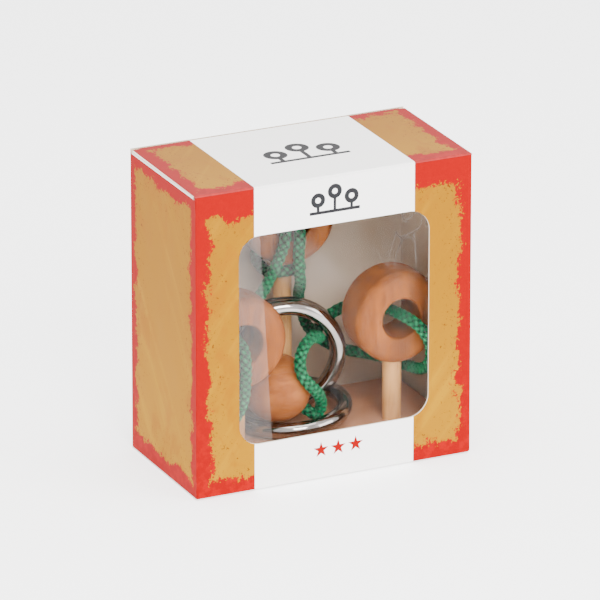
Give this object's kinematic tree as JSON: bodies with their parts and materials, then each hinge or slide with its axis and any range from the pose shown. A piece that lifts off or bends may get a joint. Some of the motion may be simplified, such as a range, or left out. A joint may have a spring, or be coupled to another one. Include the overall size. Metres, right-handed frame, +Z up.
{
  "type": "wooden ring and cord disentanglement puzzle in a window carton",
  "caption": "Wooden ring-and-cord puzzle: posts with thick rings, a knotted cord, balls and polished steel rings, packed in an upright window carton.",
  "frame": {"origin": "centre of the carton's underside", "axes": "+Z up, the windowed front faces -Y, +X to the right as seen from the front"},
  "size_m": [0.094, 0.049, 0.1],
  "materials": {
    "printed_board": "gloss print",
    "plain_board": "matt coated board",
    "film": "clear film",
    "base_wood": "sanded",
    "beech": "turned and waxed",
    "birch": "sanded dowel",
    "cord": "braided",
    "steel": "polished"
  },
  "bodies": {
    "carton": {"front_panel": "printed_board", "window_film": "film", "back_panel": "printed_board", "left_panel": "printed_board", "right_panel": "printed_board", "glue_flap": "plain_board", "bottom_panel": "plain_board", "bottom_tuck": "plain_board", "bottom_flap_left": "plain_board", "bottom_flap_right": "plain_board"},
    "lid": {"lid_panel": "printed_board"},
    "lid_tuck": {"lid_tuck": "plain_board"},
    "dust_flap_left": {"dust_flap_left": "plain_board"},
    "dust_flap_right": {"dust_flap_right": "plain_board"},
    "puzzle": {"base_board": "base_wood", "left_post": "birch", "right_post": "birch", "centre_post": "birch", "left_ring": "beech", "right_ring": "beech", "centre_ring": "beech", "cord": "cord", "ball_left": "beech", "ball_right": "beech"},
    "steel_ring_front": {"steel_ring_front": "steel"},
    "steel_ring_rear": {"steel_ring_rear": "steel"},
    "steel_ring_flat": {"steel_ring_flat": "steel"}
  },
  "joints": [
    {"name": "puzzle_lift", "type": "slide", "parent": "carton", "child": "puzzle", "axis": [0, 0, 1], "range_m": [0, 0.105]},
    {"name": "lid_hinge", "type": "hinge", "parent": "carton", "child": "lid", "pos_m": [0, -0.0245, 0.1], "axis": [1, 0, 0], "range_deg": [0, 200]},
    {"name": "tuck_fold", "type": "hinge", "parent": "lid", "child": "lid_tuck", "pos_m": [0, 0.0225, 0.0994], "axis": [-1, 0, 0], "range_deg": [0, 50]},
    {"name": "dust_flap_left_hinge", "type": "hinge", "parent": "carton", "child": "dust_flap_left", "pos_m": [-0.047, 0, 0.0992], "axis": [0, -1, 0], "range_deg": [0, 130]},
    {"name": "dust_flap_right_hinge", "type": "hinge", "parent": "carton", "child": "dust_flap_right", "pos_m": [0.047, 0, 0.0992], "axis": [0, 1, 0], "range_deg": [0, 130]},
    {"name": "steel_ring_front_spin", "type": "hinge", "parent": "puzzle", "child": "steel_ring_front", "pos_m": [-0.0054, 0.0013, 0.0321], "axis": [-0.2307, -0.9628, -0.1404], "continuous": true},
    {"name": "steel_ring_rear_spin", "type": "hinge", "parent": "puzzle", "child": "steel_ring_rear", "pos_m": [-0.0031, 0.0068, 0.0306], "axis": [-0.2507, -0.9628, -0.1003], "continuous": true},
    {"name": "steel_ring_flat_spin", "type": "hinge", "parent": "puzzle", "child": "steel_ring_flat", "pos_m": [-0.0029, 0.0025, 0.0143], "axis": [-0.0797, -0.0299, 0.9964], "continuous": true}
  ],
  "couplings": [
    {"joint": "lid_hinge", "follows": "puzzle_lift", "rad_per_m": 33.243},
    {"joint": "tuck_fold", "follows": "puzzle_lift", "rad_per_m": 8.3101},
    {"joint": "dust_flap_left_hinge", "follows": "puzzle_lift", "rad_per_m": 21.608},
    {"joint": "dust_flap_right_hinge", "follows": "puzzle_lift", "rad_per_m": 21.608}
  ]
}
